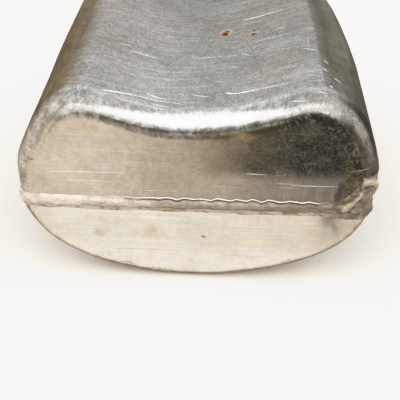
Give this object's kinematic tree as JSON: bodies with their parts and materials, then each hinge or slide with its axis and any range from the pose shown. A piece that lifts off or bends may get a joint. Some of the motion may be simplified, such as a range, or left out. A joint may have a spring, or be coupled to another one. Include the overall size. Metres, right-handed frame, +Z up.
{
  "type": "canteen",
  "caption": "Kidney-section metal canteen made of two welded half shells, lying on its rounded front, with a threaded spout, screw cap, cork seal and retaining chain.",
  "frame": {"origin": "centre of the bounding box's bottom face, on the surface that the canteen's rounded front rests on", "axes": "+Y along the bottle from its base to its cap, +X across it to the chain's side, +Z up, out of the hollow back"},
  "size_m": [0.1232, 0.19, 0.0738],
  "materials": {
    "front_shell": "worn satin, drawn sheet, cream-grey with faint brown stains",
    "back_shell": "worn satin, brushed and scratched, grey with dark tarnish",
    "seam_weld": "rough weld metal, pale with brown edges",
    "spout": "turned, satin",
    "spout_weld": "rough weld metal",
    "cap": "turned and knurled, worn satin",
    "cap_gasket": "cork, matte",
    "gasket_retainer": "stamped disc, satin",
    "cap_pin": "worn plated steel",
    "pin_washer": "worn plated steel",
    "chain_bracket": "worn satin",
    "chain": "worn plated steel wire"
  },
  "bodies": {
    "bottle": {"front_shell": "front_shell", "back_shell": "back_shell", "seam_weld": "seam_weld", "spout": "spout", "spout_weld": "spout_weld", "chain_bracket": "chain_bracket"},
    "cap_pin": {"cap_pin": "cap_pin", "pin_washer": "pin_washer"},
    "cap": {"cap": "cap", "cap_gasket": "cap_gasket", "gasket_retainer": "gasket_retainer"},
    "link_01": {"chain_link_01": "chain"},
    "link_02": {"chain_link_02": "chain"},
    "link_03": {"chain_link_03": "chain"},
    "link_04": {"chain_link_04": "chain"},
    "link_05": {"chain_link_05": "chain"},
    "link_06": {"chain_link_06": "chain"},
    "link_07": {"chain_link_07": "chain"},
    "link_08": {"chain_link_08": "chain"},
    "link_09": {"chain_link_09": "chain"}
  },
  "joints": [
    {"name": "cap_lift", "type": "slide", "parent": "bottle", "child": "cap_pin", "axis": [0, 1, 0], "range_m": [0, 0.00736]},
    {"name": "cap_turn", "type": "hinge", "parent": "cap_pin", "child": "cap", "pos_m": [0, 0.08328, 0.0312], "axis": [0, 1, 0], "range_deg": [0, 630]},
    {"name": "chain_swing", "type": "hinge", "parent": "bottle", "child": "link_01", "pos_m": [0.03096, 0.06121, 0.04142], "axis": [0.6832, -0.6861, 0.2499], "range_deg": [0, 6]},
    {"name": "link_02_bend", "type": "hinge", "parent": "link_01", "child": "link_02", "pos_m": [0.03221, 0.0643, 0.03481], "axis": [0.9995, 0.0241, -0.0225], "range_deg": [0, 19.26]},
    {"name": "link_03_bend", "type": "hinge", "parent": "link_02", "child": "link_03", "pos_m": [0.03275, 0.06784, 0.02834], "axis": [-0.2844, 0.7884, 0.5455], "range_deg": [0, 5.76]},
    {"name": "link_04_bend", "type": "hinge", "parent": "link_03", "child": "link_04", "pos_m": [0.03213, 0.07204, 0.02228], "axis": [-0.891, -0.1241, -0.4368], "range_deg": [0, 10.54]},
    {"name": "link_05_bend", "type": "hinge", "parent": "link_04", "child": "link_05", "pos_m": [0.02954, 0.07702, 0.01746], "axis": [-0.448, -0.4902, -0.7477], "range_deg": [0, 15.09]},
    {"name": "link_06_bend", "type": "hinge", "parent": "link_05", "child": "link_06", "pos_m": [0.02448, 0.0821, 0.01561], "axis": [0.1333, -0.7298, -0.6705], "range_deg": [0, 11.09]},
    {"name": "link_07_bend", "type": "hinge", "parent": "link_06", "child": "link_07", "pos_m": [0.01834, 0.0859, 0.01723], "axis": [0.6346, -0.0899, 0.7676], "range_deg": [0, 14.25]},
    {"name": "link_08_bend", "type": "hinge", "parent": "link_07", "child": "link_08", "pos_m": [0.01237, 0.08831, 0.02088], "axis": [-0.314, -0.0299, 0.949], "range_deg": [0, 8.28]},
    {"name": "link_09_bend", "type": "hinge", "parent": "link_08", "child": "link_09", "pos_m": [0.0068, 0.08981, 0.02552], "axis": [-0.5813, 0.8096, 0.0822], "range_deg": [0, 12.6]}
  ],
  "couplings": [
    {"joint": "cap_lift", "follows": "cap_turn", "m_per_rad": 0.00066845},
    {"joint": "link_02_bend", "follows": "cap_turn", "ratio": 0.030536},
    {"joint": "link_03_bend", "follows": "cap_turn", "ratio": 0.009111},
    {"joint": "link_04_bend", "follows": "cap_turn", "ratio": 0.016706},
    {"joint": "link_05_bend", "follows": "cap_turn", "ratio": 0.023924},
    {"joint": "link_06_bend", "follows": "cap_turn", "ratio": 0.017563},
    {"joint": "link_07_bend", "follows": "cap_turn", "ratio": 0.022581},
    {"joint": "link_08_bend", "follows": "cap_turn", "ratio": 0.013111},
    {"joint": "link_09_bend", "follows": "cap_turn", "ratio": 0.019971}
  ]
}
